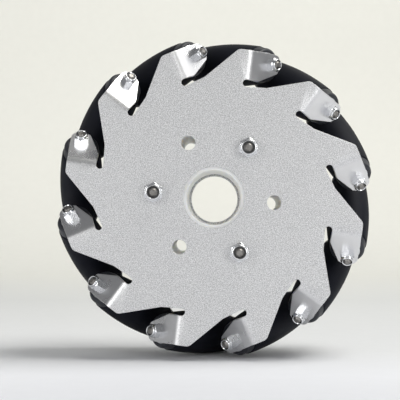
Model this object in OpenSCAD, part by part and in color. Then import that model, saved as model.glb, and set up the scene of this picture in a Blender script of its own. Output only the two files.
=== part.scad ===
// Mecanum wheel: twelve free barrel rollers held at 45 degrees between two bent aluminium plates.
// Millimetres. The wheel turns about Y, its front looks along -Y, and Z is up.
// The origin is the middle of the wheel, on its axis.

/* [Wheel] */
// Diameter of the rolling circle
wheel_d = 203; // [195:1:215]
// Number of rollers around the wheel
roller_count = 12; // [11:1:12]
// Angle of the first roller from the top, clockwise as seen from the front
roller_phase = 7; // [0:0.5:30]
// Radius of the circle that the middles of the roller axles touch
axle_r = 87.7; // [86:0.1:90]

/* [Rollers] */
// Length of a roller
roller_len = 66; // [60:0.5:66]
// Length of the rubber tread along a roller
tread_len = 52; // [44:1:54]
// How far the bare ends of the core lie below the tread's curve
collar_drop = 0.5; // [0.2:0.1:1]
// Radius of the rounded corner at a roller's end
roller_corner_r = 2.2; // [1:0.1:2.5]
// Outer radius of the core under the tread
core_r = 9.2; // [9:0.1:9.6]
// Radius of the passage between the two bearings
core_bore_r = 6; // [4:0.1:7]

/* [Plates] */
// Width over the outer faces of the two plates
plate_span = 78; // [77:0.5:79]
// Thickness of the sheet
plate_t = 2.5; // [2:0.1:2.6]
// Inner radius of the bend at the root of a tab
bend_r = 5; // [2:0.1:6]
// Distance of a bend line from the middle of its roller
bend_x = 12.3; // [12:0.1:12.6]
// Hole in the middle of the front plate
front_eye_d = 38; // [36:0.5:40]
// Hole in the middle of the rear plate
rear_eye_d = 31.4; // [28:0.2:34]
// Radius of the relief slot beside a tab
slot_r = 2.3; // [2:0.05:2.6]

/* [Hub] */
// Outer diameter of the nylon spacer
spacer_d = 100; // [92:1:110]
// Bore of the nylon spacer
hub_bore_d = 34.4; // [30:0.2:36]
// Pitch circle of the six bolt holes
bolt_circle_d = 75; // [70:0.5:78]
// Diameter of the three open mounting holes
mount_hole_d = 9; // [7:0.1:10]
// Angle of the first through bolt from the first roller
bolt_phase = 27.9; // [0:0.1:60]

/* [Fasteners] */
// Thread diameter of the three through bolts
through_d = 6; // [6]
// Width across the flats of a through nut
through_af = 11; // [10:0.1:11]
// Thread diameter of the roller axles
axle_d = 5; // [5]
// Width across the flats of an axle nut
axle_af = 8; // [8:0.1:8.5]

/* [Hidden] */
$fn = 96;
sqrt_half = sqrt(0.5);
step_angle = 360 / roller_count;
wheel_r = wheel_d / 2;
plate_y = plate_span / 2;
thread_gap = 0.05;
cut = 1;

// Tooth of a plate, in its roller's own axes: x along the rim, z outwards
slot_x = 11.4;
slot_z = 72.95;
tab_foot_z = slot_z + slot_r;
tooth_top_z = 93.6;
kink = [-14.7, 73.8];
tooth_corner_r = 4;
tooth_corner = [6, tooth_top_z - tooth_corner_r];
tooth_corner_arc = [134, 90];
slot_arc = [150, 255];
bend_outer_r = bend_r + plate_t;
bend_start_x = bend_x - bend_outer_r * tan(22.5);
bend_lap = 1;
lap_step = 0.05;
skin = 0.01;

// Tab, in its axle's own axes: x along the tab, y outwards, z along the axle
tab_out_z = (bend_x + plate_y) * sqrt_half;
tab_start_x = (bend_x - plate_y) * sqrt_half + bend_outer_r * tan(22.5);
tab_chamfer_x = -9.5;
tab_edge_r = 8;
tab_edge_arc = [-38, 0];
tab_crown_r = 4.6;
tab_crown = [3.4, 2.4];
tab_top_drop = 0.5;

// Roller bearings and axle hardware, measured along the axle from its middle
bearing_r = 8;
bearing_w = 5;
bearing_bore_r = 2.5;
bearing_out_z = roller_len / 2 - 0.3;
ring_t = 1.35;
shield_t = 0.4;
shield_gap = 0.25;
washer_t = 1;
axle_washer_r = 5;
axle_nut_h = 6;
axle_head_r = 4.25;
axle_head_h = 5;
bolt_end = 0.5;
shank_chamfer_share = 0.2;
socket_af = 4;
shim_r = 3.9;

// Lock nuts, as shares of the width across the flats or of the height
nut_collar_share = 0.46;
nut_hex_share = 0.72;
nut_insert_share = 0.37;
nut_insert_top_share = 0.94;
nut_round_share = 0.1;
nut_chamfer_share = 0.6;

// Through bolt hardware
through_washer_r = 6.2;
through_washer_t = 1.2;
through_nut_h = 7;
through_head_h = 4;
through_head_chamfer = 0.6;
through_hole_d = 6.6;
spacer_chamfer = 1;

NAMES = ["tread", "core", "bearings"];
FIXED = [
    "front_plate", "rear_plate", "hub_spacer",
    "through_bolts", "through_washers", "through_nuts", "through_nut_inserts",
    "axle_bolts", "axle_washers", "axle_nuts", "axle_nut_inserts",
    "axle_shims", "bearing_inner_rings"
];

function roller_node(i, name) = str("roller_", i < 10 ? "0" : "", i, "_", name);

// A roller's curve: every point of it touches the rolling cylinder once per turn of the roller.
// s runs along the axle, and the cylinder is touched at an angle that depends on s.
function touch_angle(s) = atan2(s * sqrt_half, axle_r);
function touch_station(s) = wheel_r * sqrt_half * sin(touch_angle(s)) + s / 2;
function station_root(station, s, rounds) =
    rounds == 0 ? s : station_root(station, s + station - touch_station(s), rounds - 1);
function roller_r(station) =
    let (s = station_root(station, station, 8), a = touch_angle(s))
    norm([
        wheel_r * sin(a) - station * sqrt_half,
        (s - station) * sqrt_half,
        wheel_r * cos(a) - axle_r
    ]);

// Points of a circular arc
function arc(middle, r, from, to, steps = 8) =
    [for (i = [0:steps]) let (a = from + (to - from) * i / steps) middle + r * [cos(a), sin(a)]];

// Places: a roller's own axes, its axle's axes, and the bolt circle
module at_roller(i) rotate([0, roller_phase + (i - 1) * step_angle, 0]) children();
module at_each_roller() for (i = [1:roller_count]) at_roller(i) children();
module along_axle() translate([0, 0, axle_r]) rotate([90, 0, 45]) children();
module at_bolt(angle) rotate([0, roller_phase + angle, 0]) translate([0, 0, bolt_circle_d / 2])
    rotate([90, 0, 0]) children();
module at_each_through_bolt() for (i = [0:2]) at_bolt(bolt_phase + 120 * i) children();
module at_each_mount_hole() for (i = [0:2]) at_bolt(bolt_phase + 60 + 120 * i) children();
module both_ends() {
    children();
    mirror([0, 0, 1]) children();
}

// A plain round ring from z0 to z1
module ring(outer_r, inner_r, z0, z1) {
    translate([0, 0, z0]) difference() {
        cylinder(r = outer_r, h = z1 - z0);
        translate([0, 0, -cut]) cylinder(r = inner_r, h = z1 - z0 + 2 * cut);
    }
}

// Lock nut standing on z = 0: a chamfered hexagon with a round collar that holds the insert
module lock_nut(thread_r, flats, h) {
    collar_r = flats * nut_collar_share;
    hex_h = h * nut_hex_share;
    round_r = h * nut_round_share;
    corner_r = flats / 2 / cos(30);
    chamfer = (corner_r - flats / 2) * nut_chamfer_share;
    difference() {
        union() {
            intersection() {
                cylinder(r = corner_r, h = hex_h, $fn = 6);
                rotate_extrude() polygon([
                    [0, 0], [flats / 2, 0], [corner_r, chamfer],
                    [corner_r, hex_h - chamfer], [flats / 2, hex_h], [0, hex_h]
                ]);
            }
            rotate_extrude() polygon(concat(
                [[0, hex_h / 2], [collar_r, hex_h / 2]],
                arc([collar_r - round_r, h - round_r], round_r, 0, 90, 4),
                [[0, h]]
            ));
        }
        translate([0, 0, -cut]) cylinder(r = thread_r + thread_gap, h = h + 2 * cut);
        translate([0, 0, hex_h]) cylinder(r = insert_r(flats), h = h);
    }
}
function insert_r(flats) = flats * nut_insert_share;

// The lock nut's nylon ring
module nut_insert(thread_r, flats, h) {
    ring(insert_r(flats), thread_r + thread_gap, h * nut_hex_share, h * nut_insert_top_share);
}

// Shank along z from z0 to z1, chamfered at z1
module shank(r, z0, z1) {
    chamfer = r * shank_chamfer_share;
    rotate_extrude() polygon([[0, z0], [r, z0], [r, z1 - chamfer], [r - chamfer, z1], [0, z1]]);
}

// Outline of the flat sheet along one tooth, seen from the front: x along the rim, y outwards.
// It runs clockwise from the floor of the last tooth's slot to the round end of this tooth's own.
function turn(point, angle) = [
    point.x * cos(angle) - point.y * sin(angle),
    point.x * sin(angle) + point.y * cos(angle)
];
tooth_edge = concat(
    [turn([slot_x, slot_z - slot_r], step_angle), kink],
    arc(tooth_corner, tooth_corner_r, tooth_corner_arc[0], tooth_corner_arc[1]),
    [
        [bend_start_x - bend_lap / 2, tooth_top_z - lap_step],
        [bend_start_x - bend_lap / 2, tab_foot_z + lap_step]
    ],
    arc([slot_x, slot_z], slot_r, slot_arc[0], slot_arc[1], 12)
);

// Flat part of a plate, seen from the front, with x to the right and y for the wheel's z
module plate_outline(eye_d, turned) {
    difference() {
        polygon([for (i = [1:roller_count]) for (point = tooth_edge) turn(point, -(i - 1) * step_angle)]);
        circle(d = eye_d);
        for (i = [0:2]) {
            rotate(-turned * (bolt_phase + 120 * i))
                translate([0, bolt_circle_d / 2]) circle(d = through_hole_d);
            rotate(-turned * (bolt_phase + 60 + 120 * i))
                translate([0, bolt_circle_d / 2]) circle(d = mount_hole_d);
        }
    }
}

// Outline of a tab's flat face: x along the tab from the end of its bend, y outwards from its foot
module tab_outline() {
    translate([-tab_start_x, axle_r - tab_foot_z]) difference() {
        polygon(concat(
            [
                [tab_start_x - lap_step, tab_foot_z - axle_r + lap_step],
                [tab_chamfer_x, tab_foot_z - axle_r + lap_step]
            ],
            arc([0, 0], tab_edge_r, tab_edge_arc[0], tab_edge_arc[1], 6),
            arc(tab_crown, tab_crown_r, 0, 90, 8),
            [
                [tab_chamfer_x, tab_crown.y + tab_crown_r - tab_top_drop],
                [tab_start_x - lap_step, tooth_top_z - axle_r - lap_step]
            ]
        ));
        circle(r = axle_d / 2 + thread_gap);
    }
}

// The bent-back tab that carries one end of an axle. The bend is full thickness; the flat sheet
// on each side of it is one skin thinner, so that their faces never lie in one plane.
module tab() {
    height = tooth_top_z - tab_foot_z;
    translate([bend_start_x, -plate_y, tab_foot_z]) {
        translate([-bend_lap, 0, 0]) cube([bend_lap, plate_t, height]);
        translate([0, bend_outer_r, 0]) {
            rotate([0, 0, -90])
                rotate_extrude(angle = 45) translate([bend_r, 0]) square([plate_t, height]);
            rotate([0, 0, 45]) translate([0, plate_t - skin - bend_outer_r, 0])
                rotate([90, 0, 0]) linear_extrude(plate_t - 2 * skin) tab_outline();
        }
    }
}

// One plate with its tabs, as the front one; the rear one is the same sheet turned around
module plate(eye_d, turned) {
    rotate([0, roller_phase, 0]) rotate([90, 0, 0]) translate([0, 0, plate_y - plate_t + skin])
        linear_extrude(plate_t - 2 * skin) plate_outline(eye_d, turned);
    at_each_roller() tab();
}

module front_plate() color("#c3c5c7") plate(front_eye_d, 1);

module rear_plate() color("#bdbfc1") rotate([0, roller_phase, 0]) rotate([0, 0, 180])
    rotate([0, -roller_phase, 0]) plate(rear_eye_d, -1);

// Nylon block between the plates, drilled for all six bolts
module hub_spacer() {
    half = plate_y - plate_t;
    color("#eeeeea") difference() {
        rotate([90, 0, 0]) rotate_extrude() polygon([
            [hub_bore_d / 2, -half], [spacer_d / 2 - spacer_chamfer, -half],
            [spacer_d / 2, -half + spacer_chamfer], [spacer_d / 2, half - spacer_chamfer],
            [spacer_d / 2 - spacer_chamfer, half], [hub_bore_d / 2, half]
        ]);
        at_each_through_bolt() translate([0, 0, -plate_span])
            cylinder(d = through_hole_d, h = 2 * plate_span);
        at_each_mount_hole() translate([0, 0, -plate_span])
            cylinder(d = mount_hole_d, h = 2 * plate_span);
    }
}

module through_bolts() {
    head_z = plate_y + through_washer_t;
    end_z = plate_y + through_nut_h + bolt_end;
    corner_r = through_af / 2 / cos(30);
    color("#b9bcc0") at_each_through_bolt() {
        shank(through_d / 2, -head_z - through_head_h / 2, end_z);
        translate([0, 0, -head_z - through_head_h]) intersection() {
            cylinder(r = corner_r, h = through_head_h, $fn = 6);
            rotate_extrude() polygon([
                [0, 0], [through_af / 2, 0], [corner_r, through_head_chamfer],
                [corner_r, through_head_h], [0, through_head_h]
            ]);
        }
    }
}

// Washers under the heads of the through bolts
module through_washers() {
    color("#c9ccd0") at_each_through_bolt()
        ring(through_washer_r, through_d / 2 + thread_gap, -plate_y - through_washer_t, -plate_y);
}

module through_nuts() {
    color("#c2c5ca") at_each_through_bolt() translate([0, 0, plate_y])
        lock_nut(through_d / 2, through_af, through_nut_h);
}

module through_nut_inserts() {
    color("#2a2b2e") at_each_through_bolt() translate([0, 0, plate_y])
        nut_insert(through_d / 2, through_af, through_nut_h);
}

// Socket-head bolts that the rollers turn on, put in from the rear
module axle_bolts() {
    head_z = tab_out_z + washer_t;
    end_z = tab_out_z + axle_nut_h + bolt_end;
    color("#b9bcc0") at_each_roller() along_axle() {
        shank(axle_d / 2, -head_z - axle_head_h / 2, end_z);
        translate([0, 0, -head_z - axle_head_h]) difference() {
            cylinder(r = axle_head_r, h = axle_head_h);
            translate([0, 0, -cut]) cylinder(d = socket_af / cos(30), h = axle_head_h / 2 + cut, $fn = 6);
        }
    }
}

// Washers under the heads of the axle bolts
module axle_washers() {
    color("#c9ccd0") at_each_roller() along_axle()
        ring(axle_washer_r, axle_d / 2 + thread_gap, -tab_out_z - washer_t, -tab_out_z);
}

module axle_nuts() {
    color("#c2c5ca") at_each_roller() along_axle() translate([0, 0, tab_out_z])
        lock_nut(axle_d / 2, axle_af, axle_nut_h);
}

module axle_nut_inserts() {
    color("#2a2b2e") at_each_roller() along_axle() translate([0, 0, tab_out_z])
        nut_insert(axle_d / 2, axle_af, axle_nut_h);
}

// Shims that carry the clamping force from a tab to a bearing's inner ring
module axle_shims() {
    color("#a9acb0") at_each_roller() along_axle() both_ends()
        ring(shim_r, axle_d / 2 + thread_gap, bearing_out_z, tab_out_z - plate_t);
}

module bearing_inner_rings() {
    color("#d0d3d6") at_each_roller() along_axle() both_ends()
        ring(bearing_bore_r + ring_t, bearing_bore_r + thread_gap, bearing_out_z - bearing_w, bearing_out_z);
}

// Rubber sleeve that touches the ground
module roller_tread(i) {
    half = tread_len / 2;
    steps = 16;
    color("#15171c") at_roller(i) along_axle() rotate_extrude() polygon(concat(
        [[core_r, -half]],
        [for (j = [0:steps]) let (z = -half + tread_len * j / steps) [roller_r(z), z]],
        [[core_r, half]]
    ));
}

// Nylon core with a bare collar and a bearing seat at each end
module roller_core(i) {
    half = roller_len / 2;
    collar = tread_len / 2;
    collar_r = roller_r(collar) - collar_drop;
    tip = [roller_r(half - roller_corner_r) - collar_drop - roller_corner_r, half - roller_corner_r];
    color("#2b2d31") at_roller(i) along_axle() difference() {
        rotate_extrude() polygon(concat(
            [[0, -half]],
            arc([tip.x, -tip.y], roller_corner_r, -90, 0, 6),
            [[collar_r, -collar], [core_r, -collar], [core_r, collar], [collar_r, collar]],
            arc(tip, roller_corner_r, 0, 90, 6),
            [[0, half]]
        ));
        translate([0, 0, -half - cut]) cylinder(r = core_bore_r, h = roller_len + 2 * cut);
        both_ends() translate([0, 0, bearing_out_z - bearing_w]) cylinder(r = bearing_r, h = bearing_w + cut);
    }
}

// Outer ring of each bearing with its two shields
module roller_bearings(i) {
    shield_r = bearing_bore_r + ring_t + shield_gap;
    color("#d0d3d6") at_roller(i) along_axle() both_ends() {
        ring(bearing_r, bearing_r - ring_t, bearing_out_z - bearing_w, bearing_out_z);
        for (z = [bearing_out_z - bearing_w, bearing_out_z - shield_t])
            ring(bearing_r - ring_t / 2, shield_r, z, z + shield_t);
    }
}

front_plate();
rear_plate();
hub_spacer();
through_bolts();
through_washers();
through_nuts();
through_nut_inserts();
axle_bolts();
axle_washers();
axle_nuts();
axle_nut_inserts();
axle_shims();
bearing_inner_rings();
for (i = [1:roller_count]) {
    roller_tread(i);
    roller_core(i);
    roller_bearings(i);
}
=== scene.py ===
import math

import bmesh
import bpy
from mathutils import Matrix, Vector
from mathutils.geometry import delaunay_2d_cdt


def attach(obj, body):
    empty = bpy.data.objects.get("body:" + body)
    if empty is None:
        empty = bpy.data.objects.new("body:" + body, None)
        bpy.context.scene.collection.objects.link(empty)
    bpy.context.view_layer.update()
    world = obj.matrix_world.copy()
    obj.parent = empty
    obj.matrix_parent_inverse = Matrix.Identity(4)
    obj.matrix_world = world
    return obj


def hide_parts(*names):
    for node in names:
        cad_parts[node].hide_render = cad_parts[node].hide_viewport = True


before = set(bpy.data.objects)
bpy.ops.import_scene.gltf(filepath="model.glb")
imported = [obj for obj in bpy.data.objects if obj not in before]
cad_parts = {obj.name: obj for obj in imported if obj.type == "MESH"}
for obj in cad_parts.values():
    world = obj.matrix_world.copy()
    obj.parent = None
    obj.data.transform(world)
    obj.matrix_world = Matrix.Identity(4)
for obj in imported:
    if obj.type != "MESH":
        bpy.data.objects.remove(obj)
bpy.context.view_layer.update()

# ---------------------------------------------------------------- design sizes, in millimetres
MM = 0.001
WHEEL_R = 101.5
ROLLERS = 12
STEP = 360 / ROLLERS
PHASE = 7.0
AXLE_R = 87.7
ROLLER_LEN = 66.0
TREAD_LEN = 52.0
COLLAR_DROP = 0.5
CORE_CORNER_R = 2.2
CORE_R = 9.2
CORE_BORE_R = 6.0
PLATE_Y = 39.0
PLATE_T = 2.5
BEND_R = 5.0
BEND_X = 12.3
FRONT_EYE_R = 19.0
REAR_EYE_R = 15.7
SLOT_X, SLOT_Z, SLOT_R = 11.4, 72.95, 2.3
TOOTH_TOP = 93.6
KINK = (-14.7, 73.8)
SHOULDER_X, SHOULDER_R = 6.0, 4.0
TAB_FOOT = SLOT_Z + SLOT_R
TAB_CHAMFER_X = -9.5
TAB_EDGE_R = 8.0
TAB_CROWN, TAB_CROWN_R = (3.4, 2.4), 4.6
BOLT_CIRCLE_R = 37.5
BOLT_PHASE = 27.9
MOUNT_HOLE_R = 4.5
THROUGH_HOLE_R = 3.3
HOLE_PHASES = ((BOLT_PHASE, THROUGH_HOLE_R), (BOLT_PHASE + 60, MOUNT_HOLE_R))
AXLE_HOLE_GAP = 0.15
THROUGH_R, THROUGH_FLATS, THROUGH_NUT_H = 3.0, 11.0, 7.0
THROUGH_WASHER_T, THROUGH_HEAD_H = 1.2, 4.0
AXLE_BOLT_R, AXLE_FLATS, AXLE_NUT_H = 2.5, 8.0, 6.0
WASHER_T, AXLE_HEAD_R, AXLE_HEAD_H = 1.0, 4.25, 5.0
BOLT_END = 0.5
SPACER_R, BORE_R = 50.0, 17.2
EDGE_R = 0.28
# a hexagon's end cone starts at this share of its width across flats
HEX_TURNED = 0.48
# lock nut: collar, insert and crimped lip as shares of the width, hexagon as a share of the height
NUT_COLLAR, NUT_INSERT, NUT_CRIMP, NUT_HEX = 0.46, 0.37, 0.34, 0.72
AXLE_WASHER_R, THROUGH_WASHER_R, SHIM_R = 5.0, 6.2, 3.9
SOCKET_FLATS = 4.0

HALF = math.sqrt(0.5)
OUTER_BEND = BEND_R + PLATE_T
BEND_START = BEND_X - OUTER_BEND * math.tan(math.radians(22.5))
BEND_LEN = math.radians(45) * (BEND_R + PLATE_T / 2)
TAB_OUT = (BEND_X + PLATE_Y) * HALF
TAB_START = (BEND_X - PLATE_Y) * HALF + OUTER_BEND * math.tan(math.radians(22.5))
TAB_AXLE = -TAB_START


# ---------------------------------------------------------------- places
def turn_y(degrees):
    return Matrix.Rotation(math.radians(degrees), 4, "Y")


def roller_place(i):
    return turn_y(PHASE + (i - 1) * STEP)


AXLE_TILT = Matrix(((HALF, 0, HALF, 0), (HALF, 0, -HALF, 0), (0, 1, 0, 0), (0, 0, 0, 1)))
LOOK_FRONT = Matrix(((1, 0, 0, 0), (0, 0, -1, 0), (0, 1, 0, 0), (0, 0, 0, 1)))
FLIP = Matrix.Diagonal((1, -1, -1, 1))


def axle_place(i):
    return roller_place(i) @ Matrix.Translation((0, 0, AXLE_R)) @ AXLE_TILT


def bolt_place(angle):
    return turn_y(PHASE + angle) @ Matrix.Translation((0, 0, BOLT_CIRCLE_R)) @ LOOK_FRONT


THROUGH_PLACES = [bolt_place(BOLT_PHASE + 120 * k) for k in range(3)]
AXLE_PLACES = [axle_place(i) for i in range(1, ROLLERS + 1)]
REAR = turn_y(PHASE) @ Matrix.Rotation(math.pi, 4, "Z") @ turn_y(-PHASE)


# ---------------------------------------------------------------- mesh helpers
def arc(cx, cy, r, start, end, steps):
    angles = [math.radians(start + (end - start) * k / steps) for k in range(steps + 1)]
    return [(cx + r * math.cos(a), cy + r * math.sin(a)) for a in angles]


def turned(p, degrees):
    c, s = math.cos(math.radians(degrees)), math.sin(math.radians(degrees))
    return (p[0] * c - p[1] * s, p[0] * s + p[1] * c)


def finish_mesh(name, bm, body, nodes, materials, sharp=35):
    """Scales a millimetre mesh to metres and makes it a piece that stands for CAD nodes."""
    bmesh.ops.scale(bm, vec=(MM, MM, MM), verts=bm.verts)
    bm.normal_update()
    mesh = bpy.data.meshes.new(name)
    bm.to_mesh(mesh)
    bm.free()
    for polygon in mesh.polygons:
        polygon.use_smooth = True
    if sharp:
        mesh.set_sharp_from_angle(angle=math.radians(sharp))
    for material in materials:
        mesh.materials.append(material)
    piece = bpy.data.objects.new(name, mesh)
    bpy.context.scene.collection.objects.link(piece)
    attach(piece, body)
    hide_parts(*nodes)
    return piece


def add_grid(bm, place, rows, closed_end=False):
    """Joins rings of points (same count in each) into a skin; the last ring may be filled."""
    rings = [[bm.verts.new(place @ Vector(p)) for p in row] for row in rows]
    count = len(rings[0])
    for lower, upper in zip(rings, rings[1:]):
        for k in range(count):
            n = (k + 1) % count
            bm.faces.new((lower[k], lower[n], upper[n], upper[k]))
    if closed_end:
        bm.faces.new(rings[-1])


def lathe_rows(profile, segments):
    """Rings round z from (radius, z) points, in order."""
    rows = []
    for r, z in profile:
        rows.append([
            (r * math.cos(2 * math.pi * k / segments), r * math.sin(2 * math.pi * k / segments), z)
            for k in range(segments)
        ])
    return rows


def add_ring(bm, place, outer, inner, z0, z1, edge, segments=48):
    """A ring with rounded edges."""
    profile = (
        arc(inner + edge, z0 + edge, edge, 180, 270, 2)
        + arc(outer - edge, z0 + edge, edge, 270, 360, 2)
        + arc(outer - edge, z1 - edge, edge, 0, 90, 2)
        + arc(inner + edge, z1 - edge, edge, 90, 180, 2)
    )
    add_grid(bm, place, lathe_rows(profile + profile[:1], segments))


def hex_radius(angle, flats):
    return flats / 2 / math.cos(angle % (math.pi / 3) - math.pi / 6)


def hex_row(z, flats, limit, segments):
    row = []
    for k in range(segments):
        a = 2 * math.pi * k / segments
        r = min(hex_radius(a, flats), limit)
        row.append((r * math.cos(a), r * math.sin(a), z))
    return row


def add_hex(bm, place, flats, z0, z1, chamfer_low, chamfer_high, inner, segments=96):
    """Hexagonal prism whose corners are turned off by a cone at each end, open at radius inner."""
    corner = flats / 2 / math.cos(math.pi / 6)
    drop = (corner - flats * HEX_TURNED) * math.tan(math.radians(30))
    rows = [lathe_rows([(inner, z0)], segments)[0]]
    steps = 6
    if chamfer_low:
        for k in range(steps + 1):
            share = k / steps
            limit = flats * HEX_TURNED + (corner - flats * HEX_TURNED) * share
            rows.append(hex_row(z0 + drop * share, flats, limit, segments))
    else:
        rows.append(hex_row(z0, flats, corner, segments))
    if chamfer_high:
        for k in range(steps + 1):
            share = 1 - k / steps
            limit = flats * HEX_TURNED + (corner - flats * HEX_TURNED) * share
            rows.append(hex_row(z1 - drop * share, flats, limit, segments))
    else:
        rows.append(hex_row(z1, flats, corner, segments))
    rows.append(lathe_rows([(inner, z1)], segments)[0])
    add_grid(bm, place, rows)


def add_thread(bm, place, r, pitch, z0, z1, segments=32):
    """Bolt end: a helical thread from z0 to a chamfered tip at z1."""
    depth = pitch * 0.54
    chamfer = r * 0.42
    step = pitch / 8
    rows = []
    count = int((z1 - z0) / step) + 1
    for j in range(count + 1):
        z = min(z0 + j * step, z1)
        row = []
        for k in range(segments):
            a = 2 * math.pi * k / segments
            wave = (z / pitch - k / segments) % 1.0
            ridge = abs(2 * wave - 1)
            radius = r - depth * min(1.0, max(0.0, 1.25 * ridge - 0.12))
            radius = min(radius, r - chamfer + max(0.0, z1 - z))
            row.append((radius * math.cos(a), radius * math.sin(a), z))
        rows.append(row)
    tip = r - chamfer
    rows.append(lathe_rows([(tip * 0.86, z1)], segments)[0])
    rows.append(lathe_rows([(tip * 0.3, z1 - 0.08)], segments)[0])
    add_grid(bm, place, rows, closed_end=True)


# ---------------------------------------------------------------- materials
def new_material(name):
    material = bpy.data.materials.new(name)
    material.use_nodes = True
    tree = material.node_tree
    shader = tree.nodes["Principled BSDF"]
    return material, tree, shader


def node(tree, kind, **settings):
    made = tree.nodes.new(kind)
    for key, value in settings.items():
        if key in made.inputs.keys():
            made.inputs[key].default_value = value
        else:
            setattr(made, key, value)
    return made


def object_noise(tree, scale, detail=3.0, roughness=0.5, stretch=(1, 1, 1)):
    where = node(tree, "ShaderNodeTexCoord")
    mapping = node(tree, "ShaderNodeMapping")
    mapping.inputs["Scale"].default_value = stretch
    noise = node(tree, "ShaderNodeTexNoise", Scale=scale, Detail=detail, Roughness=roughness)
    tree.links.new(where.outputs["Object"], mapping.inputs["Vector"])
    tree.links.new(mapping.outputs["Vector"], noise.inputs["Vector"])
    return noise.outputs["Fac"]


def spread(tree, value, low, high, out_low, out_high):
    m = node(tree, "ShaderNodeMapRange")
    m.inputs["From Min"].default_value = low
    m.inputs["From Max"].default_value = high
    m.inputs["To Min"].default_value = out_low
    m.inputs["To Max"].default_value = out_high
    tree.links.new(value, m.inputs["Value"])
    return m.outputs["Result"]


def math_node(tree, operation, a, b):
    m = node(tree, "ShaderNodeMath", operation=operation)
    for socket, value in zip(m.inputs, (a, b)):
        if isinstance(value, (int, float)):
            socket.default_value = value
        else:
            tree.links.new(value, socket)
    return m.outputs["Value"]


def mix_color(tree, factor, a, b):
    m = node(tree, "ShaderNodeMix", data_type="RGBA")
    for socket, value in ((m.inputs[6], a), (m.inputs[7], b)):
        if isinstance(value, tuple):
            socket.default_value = (*value, 1)
        else:
            tree.links.new(value, socket)
    if isinstance(factor, (int, float)):
        m.inputs[0].default_value = factor
    else:
        tree.links.new(factor, m.inputs[0])
    return m.outputs[2]


def add_bump(tree, shader, height, strength, distance):
    bump = node(tree, "ShaderNodeBump", Strength=strength, Distance=distance)
    tree.links.new(height, bump.inputs["Height"])
    tree.links.new(bump.outputs["Normal"], shader.inputs["Normal"])
    return bump


def aluminium():
    """Bead-blasted sheet: sparkling grain on the flat, calmer satin tabs, bright cut edges."""
    material, tree, shader = new_material("blasted_aluminium")
    shader.inputs["Metallic"].default_value = 1.0
    grain = object_noise(tree, 1900, 2.0, 0.6)
    fine = object_noise(tree, 3200, 1.0, 0.5)
    cloud = object_noise(tree, 28, 3.0, 0.5)
    tab = node(tree, "ShaderNodeAttribute", attribute_name="tab").outputs["Fac"]
    edge = node(tree, "ShaderNodeAttribute", attribute_name="edge").outputs["Fac"]
    speck = spread(tree, grain, 0.36, 0.66, 0.0, 1.0)
    flat_tone = mix_color(tree, speck, (0.40, 0.40, 0.41), (0.90, 0.90, 0.91))
    tab_speck = spread(tree, cloud, 0.3, 0.7, 0.0, 1.0)
    tab_tone = mix_color(tree, tab_speck, (0.70, 0.70, 0.71), (0.78, 0.78, 0.79))
    sheet = mix_color(tree, tab, flat_tone, tab_tone)
    tree.links.new(mix_color(tree, edge, sheet, (0.86, 0.86, 0.87)), shader.inputs["Base Color"])
    rough_flat = spread(tree, fine, 0.3, 0.7, 0.40, 0.60)
    rough_tab = spread(tree, cloud, 0.3, 0.7, 0.24, 0.32)
    rough = node(tree, "ShaderNodeMix", data_type="FLOAT")
    tree.links.new(tab, rough.inputs[0])
    tree.links.new(rough_flat, rough.inputs[2])
    tree.links.new(rough_tab, rough.inputs[3])
    tree.links.new(rough.outputs[0], shader.inputs["Roughness"])
    relief = math_node(tree, "MULTIPLY", grain, spread(tree, tab, 0.0, 1.0, 1.0, 0.3))
    add_bump(tree, shader, relief, 0.55, 0.0002)
    return material


def nylon(name, low, high, rough_low, rough_high,
          depth=0.00004, subsurface=0.0, specular=0.5, painted_glow=0.0):
    material, tree, shader = new_material(name)
    cloud = object_noise(tree, 60, 4.0, 0.55)
    fine = object_noise(tree, 1800, 2.0, 0.5)
    tone = mix_color(tree, spread(tree, cloud, 0.3, 0.7, 0, 1), low, high)
    tree.links.new(tone, shader.inputs["Base Color"])
    tree.links.new(spread(tree, cloud, 0.3, 0.7, rough_low, rough_high), shader.inputs["Roughness"])
    shader.inputs["Specular IOR Level"].default_value = specular
    # painted light: a weak emission in the nylon's own colour stands in for light passing through
    # translucent nylon
    if painted_glow:
        shader.inputs["Emission Color"].default_value = (*high, 1)
        shader.inputs["Emission Strength"].default_value = painted_glow
    if subsurface:
        shader.inputs["Subsurface Weight"].default_value = subsurface
        shader.inputs["Subsurface Radius"].default_value = (0.012, 0.011, 0.009)
        shader.inputs["Subsurface Scale"].default_value = 1.0
    add_bump(tree, shader, fine, 0.35, depth)
    return material


def steel(name, low, high, rough_low, rough_high, relief=0.25):
    material, tree, shader = new_material(name)
    shader.inputs["Metallic"].default_value = 1.0
    cloud = object_noise(tree, 350, 4.0, 0.6)
    fine = object_noise(tree, 2600, 2.0, 0.6)
    tone = mix_color(tree, spread(tree, cloud, 0.3, 0.7, 0, 1), low, high)
    tree.links.new(tone, shader.inputs["Base Color"])
    tree.links.new(spread(tree, fine, 0.3, 0.7, rough_low, rough_high), shader.inputs["Roughness"])
    add_bump(tree, shader, fine, relief, 0.00005)
    return material


ALUMINIUM = aluminium()
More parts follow.
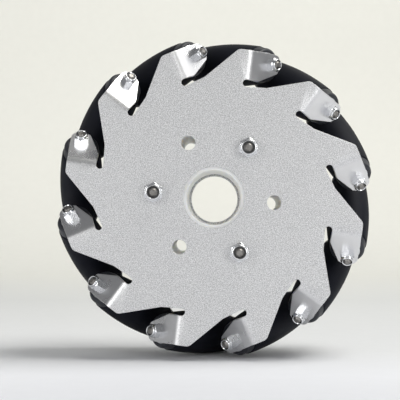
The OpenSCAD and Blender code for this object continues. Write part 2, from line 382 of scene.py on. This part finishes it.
# the white nylon's weak emission is painted light standing in for light passing through it
WHITE_NYLON = nylon("white_nylon", (0.88, 0.88, 0.86), (0.92, 0.92, 0.90), 0.38, 0.52,
                    subsurface=0.9, painted_glow=0.03)
CORE_NYLON = nylon("core_nylon", (0.022, 0.024, 0.030), (0.034, 0.036, 0.044), 0.40, 0.55,
                   specular=0.35)
RUBBER = nylon("tread_rubber", (0.0065, 0.0072, 0.012), (0.010, 0.011, 0.017), 0.50, 0.66,
               depth=0.00007, specular=0.10)
INSERT_NYLON = nylon("insert_nylon", (0.030, 0.031, 0.034), (0.045, 0.046, 0.050),
                     0.35, 0.5)
ZINC = steel("zinc_steel", (0.70, 0.71, 0.73), (0.82, 0.83, 0.85), 0.10, 0.19, 0.08)
BOLT = steel("bolt_steel", (0.20, 0.19, 0.18), (0.34, 0.33, 0.32), 0.34, 0.50, 0.4)
BEARING = steel("bearing_steel", (0.60, 0.61, 0.63), (0.72, 0.73, 0.75), 0.16, 0.28)


# ---------------------------------------------------------------- plates
def rounded(points, radius, steps=3):
    """The closed outline with every clear corner replaced by a small arc."""
    made = []
    count = len(points)
    for k in range(count):
        p, q, s = Vector(points[k - 1]), Vector(points[k]), Vector(points[(k + 1) % count])
        a, b = p - q, s - q
        angle = a.angle(b)
        reach = radius / math.tan(angle / 2) if angle > 1e-3 else 0
        if math.degrees(math.pi - angle) < 24 or reach > 0.45 * min(a.length, b.length):
            made.append(tuple(q))
            continue
        start, end = q + a.normalized() * reach, q + b.normalized() * reach
        for j in range(steps + 1):
            t = j / steps
            made.append(tuple(start * (1 - t) ** 2 + q * 2 * t * (1 - t) + end * t ** 2))
    return made


BEND_STEPS = 12


def tooth_blank():
    """One tooth of the unbent sheet, clockwise, in its roller's own axes."""
    bend = [BEND_START + BEND_LEN * k / BEND_STEPS for k in range(BEND_STEPS + 1)]
    shift = BEND_START + BEND_LEN + TAB_AXLE
    start = [turned((SLOT_X, SLOT_Z - SLOT_R), STEP), KINK]
    shoulder = arc(SHOULDER_X, TOOTH_TOP - SHOULDER_R, SHOULDER_R, 134, 90, 6)
    top = [(x, TOOTH_TOP) for x in bend]
    crown = [(shift + TAB_CHAMFER_X, AXLE_R + TAB_CROWN[1] + TAB_CROWN_R - 0.5)]
    crown += [(shift + x, AXLE_R + z) for x, z in arc(*TAB_CROWN, TAB_CROWN_R, 90, 0, 8)]
    edge = [(shift + x, AXLE_R + z) for x, z in arc(0, 0, TAB_EDGE_R, 0, -38, 6)]
    foot = [(shift + TAB_CHAMFER_X, TAB_FOOT)]
    for x in reversed(bend):
        foot.append((x, SLOT_Z + math.sqrt(SLOT_R ** 2 - min(0.0, x - SLOT_X) ** 2)))
    slot_floor = arc(SLOT_X, SLOT_Z, SLOT_R, 172, 255, 8)
    return start + shoulder + top + crown + edge + foot + slot_floor


def bent(point, depth, side, inset):
    """Where a point of the blank at a depth from the front face goes, with its normal."""
    x, z = point
    for i in range(ROLLERS):
        lx, lz = turned((x, z), i * STEP)
        if lx > BEND_START - 1e-6 and lx < BEND_START + BEND_LEN + 30 \
                and lz > TAB_FOOT - 1.8 + max(0.0, lx - 20) * 0.4 and lz < 110:
            t = min(1.0, (lx - BEND_START) / BEND_LEN)
            a = math.radians(45) * t
            beyond = max(0.0, lx - BEND_START - BEND_LEN)
            r = OUTER_BEND - depth
            px = BEND_START + r * math.sin(a) + beyond * math.cos(a)
            py = -PLATE_Y + OUTER_BEND - r * math.cos(a) + beyond * math.sin(a)
            nx, nz = turned(side, i * STEP)
            normal = Vector((nx * math.cos(a) + inset * math.sin(a),
                             nx * math.sin(a) - inset * math.cos(a), nz))
            place = turn_y(i * STEP)
            return place @ Vector((px, py, lz)), place.to_3x3() @ normal, t
    return Vector((x, -PLATE_Y + depth, z)), Vector((side[0], -inset, side[1])), 0.0


def loop_normals(loop):
    """Mitred direction away from the metal and length factor at each point of a closed outline."""
    made = []
    count = len(loop)
    for k in range(count):
        p, q, s = Vector(loop[k - 1]), Vector(loop[k]), Vector(loop[(k + 1) % count])
        d1, d2 = (q - p).normalized(), (s - q).normalized()
        n1, n2 = Vector((-d1.y, d1.x)), Vector((-d2.y, d2.x))
        n = (n1 + n2).normalized()
        made.append((n, 1 / max(0.6, n.dot(n1))))
    return made


def inside(x, z, loop):
    hit = False
    count = len(loop)
    for k in range(count):
        (x1, z1), (x2, z2) = loop[k - 1], loop[k]
        if (z1 > z) != (z2 > z) and x < (x2 - x1) * (z - z1) / (z2 - z1) + x1:
            hit = not hit
    return hit


def in_metal(x, z, loops):
    """Inside the outline, which comes first, and outside every hole."""
    return inside(x, z, loops[0]) and not any(inside(x, z, hole) for hole in loops[1:])


def circle_loop(cx, cz, r, count):
    return arc(cx, cz, r, 0, 360 * (count - 1) / count, count - 1)


def build_plate(name, body, nodes, eye_r, turned_way, place):
    """The whole blank with rounded cut edges, then bent at all twelve tabs."""
    outline = []
    tooth = tooth_blank()
    for i in range(ROLLERS):
        outline += [turned(p, -i * STEP) for p in tooth]
    outline = rounded(outline, 0.7)
    loops = [outline, circle_loop(0, 0, eye_r, 128)]
    shift = BEND_START + BEND_LEN + TAB_AXLE
    for i in range(ROLLERS):
        cx, cz = turned((shift, AXLE_R), -i * STEP)
        loops.append(circle_loop(cx, cz, AXLE_BOLT_R + AXLE_HOLE_GAP, 32))
    for k in range(3):
        for phase, r in HOLE_PHASES:
            cx, cz = turned((0, BOLT_CIRCLE_R), -turned_way * (phase + 120 * k))
            loops.append(circle_loop(cx, cz, r, 48))
    bevel_steps = 3
    levels = []
    for k in range(bevel_steps + 1):
        a = math.radians(90 * k / bevel_steps)
        across, up = math.sin(a), math.cos(a)
        levels.append((EDGE_R * (1 - across), EDGE_R * (1 - up), across, up))
    levels += [(inset, PLATE_T - depth, s, -c) for inset, depth, s, c in reversed(levels)]
    bm = bmesh.new()
    tab_layer = bm.verts.layers.float.new("tab")
    edge_layer = bm.verts.layers.float.new("edge")
    normals, inset_loops = [], []
    cap_points, cap_edges, front_caps, back_caps = [], [], [], []
    for loop in loops:
        # the outline runs clockwise and the holes anticlockwise: air is on the left of both
        sides = loop_normals(loop)
        rings = []
        for inset, depth, across, up in levels:
            ring = []
            for (x, z), (n, factor) in zip(loop, sides):
                point = (x - n.x * factor * inset, z - n.y * factor * inset)
                where, normal, share = bent(point, depth, (n.x * across, n.y * across), up)
                v = bm.verts.new(place @ where)
                v[tab_layer] = share
                v[edge_layer] = across ** 2
                normals.append((place.to_3x3() @ normal).normalized())
                ring.append(v)
            rings.append(ring)
        count = len(loop)
        for upper, lower in zip(rings, rings[1:]):
            for k in range(count):
                n = (k + 1) % count
                bm.faces.new((upper[k], upper[n], lower[n], lower[k]))
        first = len(cap_points)
        inset_loop = [
            (x - n.x * f * levels[0][0], z - n.y * f * levels[0][0])
            for (x, z), (n, f) in zip(loop, sides)
        ]
        inset_loops.append(inset_loop)
        cap_points += [Vector(p) for p in inset_loop]
        cap_edges += [(first + k, first + (k + 1) % count) for k in range(count)]
        front_caps += rings[0]
        back_caps += rings[-1]
    edges = bend_lines(cap_points) + cap_edges
    found, _, faces, origins, _, _ = delaunay_2d_cdt(cap_points, edges, [], 0, 1e-6)
    where = {}
    for k, sources in enumerate(origins):
        for s in sources:
            where[k] = s
    for face in faces:
        if any(k not in where for k in face):
            raise RuntimeError("the blank's outline crosses itself")
        cx = sum(found[k].x for k in face) / 3
        cz = sum(found[k].y for k in face) / 3
        if not in_metal(cx, cz, inset_loops):
            continue
        bm.faces.new([front_caps[where[k]] for k in face])
        bm.faces.new([back_caps[where[k]] for k in reversed(face)])
    bmesh.ops.recalc_face_normals(bm, faces=bm.faces)
    piece = finish_mesh(name, bm, body, nodes, [ALUMINIUM], sharp=0)
    piece.data.normals_split_custom_set_from_vertices([tuple(n) for n in normals])
    return piece


def bend_lines(points):
    """Edges across each tab at every step of its bend."""
    lines = {}
    for index, p in enumerate(points):
        for i in range(ROLLERS):
            lx, lz = turned((p.x, p.y), i * STEP)
            if not TAB_FOOT - 1.8 < lz < TOOTH_TOP + 0.5:
                continue
            step = (lx - BEND_START) / BEND_LEN * BEND_STEPS
            if -0.01 < step < BEND_STEPS + 0.01 and abs(step - round(step)) < 0.01:
                lines.setdefault((i, round(step)), []).append((lz, index))
    made = []
    for ends in lines.values():
        ends.sort()
        if len(ends) > 1:
            made.append((ends[0][1], ends[-1][1]))
    return made


build_plate("front_plate_sheet", "root", ["front_plate"], FRONT_EYE_R, 1, turn_y(PHASE))
build_plate("rear_plate_sheet", "root", ["rear_plate"], REAR_EYE_R, -1, REAR @ turn_y(PHASE))


# ---------------------------------------------------------------- hub spacer
def build_spacer():
    half = PLATE_Y - PLATE_T
    bm = bmesh.new()
    outer_edge, hole_edge = 1.0, 0.25
    loops = [
        (circle_loop(0, 0, SPACER_R, 192), -1, outer_edge),
        (circle_loop(0, 0, BORE_R, 128), 1, hole_edge),
    ]
    for k in range(3):
        for phase, r in HOLE_PHASES:
            cx, cz = turned((0, BOLT_CIRCLE_R), -(PHASE + phase + 120 * k))
            loops.append((circle_loop(cx, cz, r, 48), 1, hole_edge))
    cap_points, cap_edges, front_caps, back_caps, inset_loops = [], [], [], [], []
    for loop, outward, edge in loops:
        middle = sum((Vector(p) for p in loop), Vector((0, 0))) / len(loop)
        turns = [math.radians(30 * k) for k in range(4)]
        levels = [(edge * (1 - math.sin(a)), edge * (1 - math.cos(a))) for a in turns]
        levels += [(inset, 2 * half - depth) for inset, depth in reversed(levels)]
        rings = []
        for inset, depth in levels:
            ring = []
            for p in loop:
                out = (Vector(p) - middle).normalized()
                q = Vector(p) + out * inset * outward
                ring.append(bm.verts.new((q.x, -half + depth, q.y)))
            rings.append(ring)
        count = len(loop)
        for upper, lower in zip(rings, rings[1:]):
            for k in range(count):
                n = (k + 1) % count
                bm.faces.new((upper[k], upper[n], lower[n], lower[k]))
        first = len(cap_points)
        inset_loop = [(v.co.x, v.co.z) for v in rings[0]]
        inset_loops.append(inset_loop)
        cap_points += [Vector(p) for p in inset_loop]
        cap_edges += [(first + k, first + (k + 1) % count) for k in range(count)]
        front_caps += rings[0]
        back_caps += rings[-1]
    found, _, faces, origins, _, _ = delaunay_2d_cdt(cap_points, cap_edges, [], 0, 1e-6)
    for face in faces:
        cx = sum(found[k].x for k in face) / 3
        cz = sum(found[k].y for k in face) / 3
        if not in_metal(cx, cz, inset_loops):
            continue
        bm.faces.new([front_caps[origins[k][0]] for k in face])
        bm.faces.new([back_caps[origins[k][0]] for k in reversed(face)])
    bmesh.ops.recalc_face_normals(bm, faces=bm.faces)
    finish_mesh("hub_spacer_block", bm, "root", ["hub_spacer"], [WHITE_NYLON],
                sharp=40)


build_spacer()


# ---------------------------------------------------------------- fasteners
def add_lock_nut(bm, place, thread_r, flats, h):
    collar_r, insert_r, crimp_r = flats * NUT_COLLAR, flats * NUT_INSERT, flats * NUT_CRIMP
    hex_h = h * NUT_HEX
    add_hex(bm, place, flats, 0.0, hex_h, False, True, collar_r - 0.05)
    lip = min(h * 0.19, collar_r - crimp_r - 0.35)
    profile = [(collar_r + 0.12, hex_h - 0.05), (collar_r, hex_h + 0.12)]
    profile += arc(collar_r - lip, h - lip, lip, 0, 90, 6)
    profile += [(crimp_r + 0.3, h - 0.04), (crimp_r, h - 0.3), (crimp_r + 0.05, h - 0.55)]
    profile += [(insert_r, h - 0.6), (insert_r, hex_h)]
    add_grid(bm, place, lathe_rows(profile, 64))
    bore = [(insert_r, hex_h + 0.02), (thread_r + 0.06, hex_h)]
    bore += [(thread_r + 0.06, 0.0), (collar_r, 0.0)]
    add_grid(bm, place, lathe_rows(bore, 64))


def add_insert(bm, place, thread_r, flats, h):
    insert_r = flats * NUT_INSERT
    add_ring(bm, place, insert_r - 0.02, thread_r + 0.06, h * 0.74, h - 0.62, 0.12)


def group_piece(name, nodes, material, places, build, sharp=35):
    bm = bmesh.new()
    for place in places:
        build(bm, place)
    bmesh.ops.recalc_face_normals(bm, faces=bm.faces)
    return finish_mesh(name, bm, "root", nodes, [material], sharp)


def lift(place, z):
    return place @ Matrix.Translation((0, 0, z))


group_piece("through_nut_bodies", ["through_nuts"], ZINC, THROUGH_PLACES,
            lambda bm, p: add_lock_nut(bm, lift(p, PLATE_Y), THROUGH_R, THROUGH_FLATS,
                                       THROUGH_NUT_H))
group_piece("axle_nut_bodies", ["axle_nuts"], ZINC, AXLE_PLACES,
            lambda bm, p: add_lock_nut(bm, lift(p, TAB_OUT), AXLE_BOLT_R, AXLE_FLATS, AXLE_NUT_H))
group_piece("through_nut_rings", ["through_nut_inserts"], INSERT_NYLON,
            THROUGH_PLACES,
            lambda bm, p: add_insert(bm, lift(p, PLATE_Y), THROUGH_R, THROUGH_FLATS, THROUGH_NUT_H))
group_piece("axle_nut_rings", ["axle_nut_inserts"], INSERT_NYLON, AXLE_PLACES,
            lambda bm, p: add_insert(bm, lift(p, TAB_OUT), AXLE_BOLT_R, AXLE_FLATS, AXLE_NUT_H))


def add_through_bolt(bm, place):
    tip = PLATE_Y + THROUGH_NUT_H + BOLT_END
    head = -PLATE_Y - THROUGH_WASHER_T - THROUGH_HEAD_H
    shank = [(THROUGH_R, head + THROUGH_HEAD_H - 0.5), (THROUGH_R, PLATE_Y)]
    add_grid(bm, place, lathe_rows(shank, 48))
    add_thread(bm, place, THROUGH_R, 1.0, PLATE_Y, tip)
    add_hex(bm, place, THROUGH_FLATS, head, head + THROUGH_HEAD_H, True, False, THROUGH_R * 0.9)
    dish = [(THROUGH_R * 0.9, head), (THROUGH_R * 0.8, head + 0.3), (0.3, head + 0.35)]
    add_grid(bm, place, lathe_rows(dish, 96), closed_end=True)


def add_axle_bolt(bm, place):
    tip = TAB_OUT + AXLE_NUT_H + BOLT_END
    under = -TAB_OUT - WASHER_T
    add_grid(bm, place, lathe_rows([(AXLE_BOLT_R, under), (AXLE_BOLT_R, TAB_OUT)], 32))
    add_thread(bm, place, AXLE_BOLT_R, 0.8, TAB_OUT, tip)
    rows = []
    knurls, segments = 36, 144
    top, edge = under - AXLE_HEAD_H, 0.4
    socket = SOCKET_FLATS / 2 / math.cos(math.pi / 6)
    for r, z, ripple in (
        (AXLE_BOLT_R, under, 0), (AXLE_HEAD_R - 0.15, under, 0), (AXLE_HEAD_R, under - 0.2, 1),
        (AXLE_HEAD_R, top + edge, 1), (AXLE_HEAD_R - edge * 0.3, top + edge * 0.3, 0.3),
        (AXLE_HEAD_R - edge, top, 0), (socket + 0.25, top, 0),
    ):
        row = []
        for k in range(segments):
            a = 2 * math.pi * k / segments
            radius = r - ripple * 0.07 * (1 - math.cos(knurls * a))
            row.append((radius * math.cos(a), radius * math.sin(a), z))
        rows.append(row)
    for z in (top + 0.2, top + 2.4):
        rows.append(hex_row(z, SOCKET_FLATS, socket, segments))
    rows.append(lathe_rows([(0.2, top + 2.7)], segments)[0])
    add_grid(bm, place, rows, closed_end=True)


group_piece("through_bolt_set", ["through_bolts"], BOLT, THROUGH_PLACES,
            add_through_bolt)
group_piece("axle_bolt_set", ["axle_bolts"], BOLT, AXLE_PLACES, add_axle_bolt)
group_piece("through_washer_set", ["through_washers"], ZINC, THROUGH_PLACES,
            lambda bm, p: add_ring(bm, p, THROUGH_WASHER_R, THROUGH_R + 0.1,
                                        -PLATE_Y - THROUGH_WASHER_T, -PLATE_Y, 0.15))
group_piece("axle_washer_set", ["axle_washers"], ZINC, AXLE_PLACES,
            lambda bm, p: add_ring(bm, p, AXLE_WASHER_R, AXLE_BOLT_R + 0.1,
                                        -TAB_OUT - WASHER_T, -TAB_OUT, 0.12))


# ---------------------------------------------------------------- rollers
BEARING_OUT = ROLLER_LEN / 2 - 0.3
BEARING_W, BEARING_R, BEARING_BORE, RACE_T = 5.0, 8.0, 2.5, 1.35


def add_shims(bm, place):
    for side in (place, place @ FLIP):
        add_ring(bm, side, SHIM_R, AXLE_BOLT_R + 0.06, BEARING_OUT, TAB_OUT - PLATE_T, 0.1, 32)


def add_inner_races(bm, place):
    for side in (place, place @ FLIP):
        add_ring(bm, side, BEARING_BORE + RACE_T, BEARING_BORE + 0.06,
                 BEARING_OUT - BEARING_W, BEARING_OUT, 0.2, 32)


group_piece("axle_shim_set", ["axle_shims"], ZINC, AXLE_PLACES, add_shims)
group_piece("bearing_race_set", ["bearing_inner_rings"], BEARING, AXLE_PLACES,
            add_inner_races)


def touch_angle(s):
    return math.atan2(s * HALF, AXLE_R)


def roller_r(station):
    """Radius of the barrel along the axle, such that it always touches the rolling circle."""
    s = station
    for _ in range(8):
        s += station - (WHEEL_R * HALF * math.sin(touch_angle(s)) + s / 2)
    a = touch_angle(s)
    return math.sqrt(
        (WHEEL_R * math.sin(a) - station * HALF) ** 2 + ((s - station) * HALF) ** 2
        + (WHEEL_R * math.cos(a) - AXLE_R) ** 2
    )


def add_tread(bm, place):
    half, lip = TREAD_LEN / 2, 0.5
    profile = [(CORE_R, -half)]
    end_r = roller_r(half) - lip
    for a in (0, math.radians(30), math.radians(60)):
        profile.append((end_r + lip * math.sin(a), -half + lip * (1 - math.cos(a))))
    steps = 40
    for k in range(steps + 1):
        z = -half + lip + (2 * half - 2 * lip) * k / steps
        profile.append((roller_r(z), z))
    profile += [(r, -z) for r, z in reversed(profile[:4])]
    add_grid(bm, place, lathe_rows(profile + profile[:1], 112))


def add_core(bm, place):
    half, collar = ROLLER_LEN / 2, TREAD_LEN / 2
    collar_r = roller_r(collar) - COLLAR_DROP
    tip_r = roller_r(half - CORE_CORNER_R) - COLLAR_DROP
    side = [(CORE_R - 0.02, 0.0), (CORE_R - 0.02, collar)]
    side += [(collar_r - 0.3, collar + 0.02), (collar_r, collar + 0.3)]
    rise = half - CORE_CORNER_R - collar
    side += [(collar_r + (tip_r - collar_r) * t, collar + rise * t) for t in (0.35, 0.7)]
    side += arc(tip_r - CORE_CORNER_R, half - CORE_CORNER_R, CORE_CORNER_R, 0, 90, 8)
    side += [(BEARING_R + 0.5, half), (BEARING_R + 0.02, half - 0.2)]
    side += [(BEARING_R + 0.02, BEARING_OUT - BEARING_W)]
    side += [(CORE_BORE_R, BEARING_OUT - BEARING_W - 0.02), (CORE_BORE_R, 0.0)]
    for turn in (place, place @ FLIP):
        add_grid(bm, turn, lathe_rows(side, 112))


def add_bearings(bm, place):
    shield_r = BEARING_BORE + RACE_T + 0.25
    z0, z1 = BEARING_OUT - BEARING_W, BEARING_OUT
    for turn in (place, place @ FLIP):
        add_ring(bm, turn, BEARING_R, BEARING_R - RACE_T, z0, z1, 0.25, 64)
        for a, b in ((z0 + 0.02, z0 + 0.4), (z1 - 0.4, z1 - 0.02)):
            add_ring(bm, turn, BEARING_R - RACE_T / 2, shield_r, a, b, 0.1, 64)


def roller_piece(i, kind, material, build, sharp):
    bm = bmesh.new()
    build(bm, axle_place(i))
    bmesh.ops.remove_doubles(bm, verts=bm.verts, dist=1e-5)
    bmesh.ops.recalc_face_normals(bm, faces=bm.faces)
    name = f"roller_{i:02d}"
    finish_mesh(f"{name}_{kind}_skin", bm, name, [f"{name}_{kind}"], [material], sharp)


for i in range(1, ROLLERS + 1):
    roller_piece(i, "tread", RUBBER, add_tread, 50)
    roller_piece(i, "core", CORE_NYLON, add_core, 35)
    roller_piece(i, "bearings", BEARING, add_bearings, 40)


# ---------------------------------------------------------------- floor and backdrop
def build_sweep():
    floor_z = -WHEEL_R * MM
    near, bend_y, radius, top, half_width = -6.0, 0.95, 0.42, 2.6, 4.5
    profile = [(near, floor_z), (bend_y, floor_z)]
    for a in [math.radians(degrees) for degrees in range(5, 91, 5)]:
        profile.append((bend_y + radius * math.sin(a), floor_z + radius * (1 - math.cos(a))))
    profile.append((bend_y + radius, top))
    bm = bmesh.new()
    left = [bm.verts.new((-half_width, y, z)) for y, z in profile]
    right = [bm.verts.new((half_width, y, z)) for y, z in profile]
    for k in range(len(profile) - 1):
        bm.faces.new((left[k], right[k], right[k + 1], left[k + 1]))
    bm.normal_update()
    mesh = bpy.data.meshes.new("sweep")
    bm.to_mesh(mesh)
    bm.free()
    for polygon in mesh.polygons:
        polygon.use_smooth = True
    material, tree, shader = new_material("paper_with_painted_shade")
    where = node(tree, "ShaderNodeTexCoord")
    split = node(tree, "ShaderNodeSeparateXYZ")
    tree.links.new(where.outputs["Object"], split.inputs["Vector"])
    # painted shade: the paper's tone changes with depth, bright in front of the wheel and darker
    # again towards the camera, a painted shadow band under the wheel where its shadow falls (y
    # 0.02), deeper painted shade on the floor behind it (y 0.47), bright on the wall
    first, last = -0.25, 1.37
    ramp = node(tree, "ShaderNodeValToRGB")
    ramp.color_ramp.elements.remove(ramp.color_ramp.elements[1])
    ramp.color_ramp.elements[0].color = (0.79, 0.80, 0.85, 1)
    paper_tones_and_painted_shade = (
        (-0.10, (0.88, 0.89, 0.94)), (0.02, (0.82, 0.83, 0.86)), (0.47, (0.73, 0.74, 0.75)),
        (1.05, (0.86, 0.86, 0.83)), (1.30, (0.94, 0.935, 0.89)),
    )
    for y, color in paper_tones_and_painted_shade:
        ramp.color_ramp.elements.new((y - first) / (last - first)).color = (*color, 1)
    tree.links.new(spread(tree, split.outputs["Y"], first, last, 0, 1), ramp.inputs["Fac"])
    tone = ramp.outputs["Color"]
    fibre_and_painted_shade = spread(tree, object_noise(tree, 90, 3.0, 0.5), 0.3, 0.7, 0.985, 1.0)
    # painted light and shade across the width: the paper's tone is raised towards -X and lowered
    # towards +X, multiplied into the fibre noise
    across = spread(tree, split.outputs["X"], -0.45, 0.45, 1.04, 0.87)
    fibre_and_painted_shade = math_node(tree, "MULTIPLY", fibre_and_painted_shade, across)
    shade = node(tree, "ShaderNodeMix", data_type="RGBA", blend_type="MULTIPLY")
    shade.inputs[0].default_value = 1.0
    tree.links.new(tone, shade.inputs[6])
    tree.links.new(fibre_and_painted_shade, shade.inputs[7])
    tree.links.new(shade.outputs[2], shader.inputs["Base Color"])
    shader.inputs["Roughness"].default_value = 0.9
    shader.inputs["Specular IOR Level"].default_value = 0.2
    mesh.materials.append(material)
    sweep = bpy.data.objects.new("sweep", mesh)
    bpy.context.scene.collection.objects.link(sweep)


build_sweep()


# ---------------------------------------------------------------- lights and camera
def area_light(name, location, target, width, height, power, color):
    data = bpy.data.lights.new(name, "AREA")
    data.shape = "RECTANGLE"
    data.size, data.size_y = width, height
    data.energy = power
    data.color = color
    lamp = bpy.data.objects.new(name, data)
    lamp.location = location
    lamp.rotation_euler = (Vector(target) - Vector(location)).to_track_quat("-Z", "Y").to_euler()
    bpy.context.scene.collection.objects.link(lamp)


area_light("right_box", (0.85, -0.10, 0.62), (0, 0, 0), 0.60, 0.60, 1.2, (1.0, 1.0, 1.0))
area_light("front_left_box", (-0.95, -1.05, 0.30), (0, 0, 0), 0.50, 0.80, 5.2, (1.0, 1.0, 0.98))
area_light("front_right_box", (0.95, -1.20, 0.10), (0, 0, 0), 0.45, 0.80, 6.2, (1.0, 1.0, 0.98))
area_light("backdrop_box", (0.85, 0.00, 1.62), (-0.20, 1.0, 0.10), 1.4, 0.9, 28.0,
           (1.0, 0.99, 0.93))
area_light("front_box", (0.1, -2.0, 0.15), (0, 0, 0), 1.6, 1.3, 4.5, (0.99, 1.0, 0.97))

world = bpy.data.worlds.new("studio")
world.use_nodes = True
sky = world.node_tree.nodes["Background"]
sky.inputs["Color"].default_value = (0.97, 0.98, 1.0, 1)
sky.inputs["Strength"].default_value = 0.22
bpy.context.scene.world = world

camera_data = bpy.data.cameras.new("camera")
camera_data.lens = 101.2
camera_data.sensor_width = 36
camera_data.clip_start, camera_data.clip_end = 0.05, 20
camera = bpy.data.objects.new("camera", camera_data)
camera.location = (0.0040, -0.7355, -0.0117)
aim = Vector((-0.0093, 0, -0.0010))
camera.rotation_euler = (aim - camera.location).to_track_quat("-Z", "Y").to_euler()
bpy.context.scene.collection.objects.link(camera)
bpy.context.scene.camera = camera
bpy.context.scene.view_settings.view_transform = "Standard"
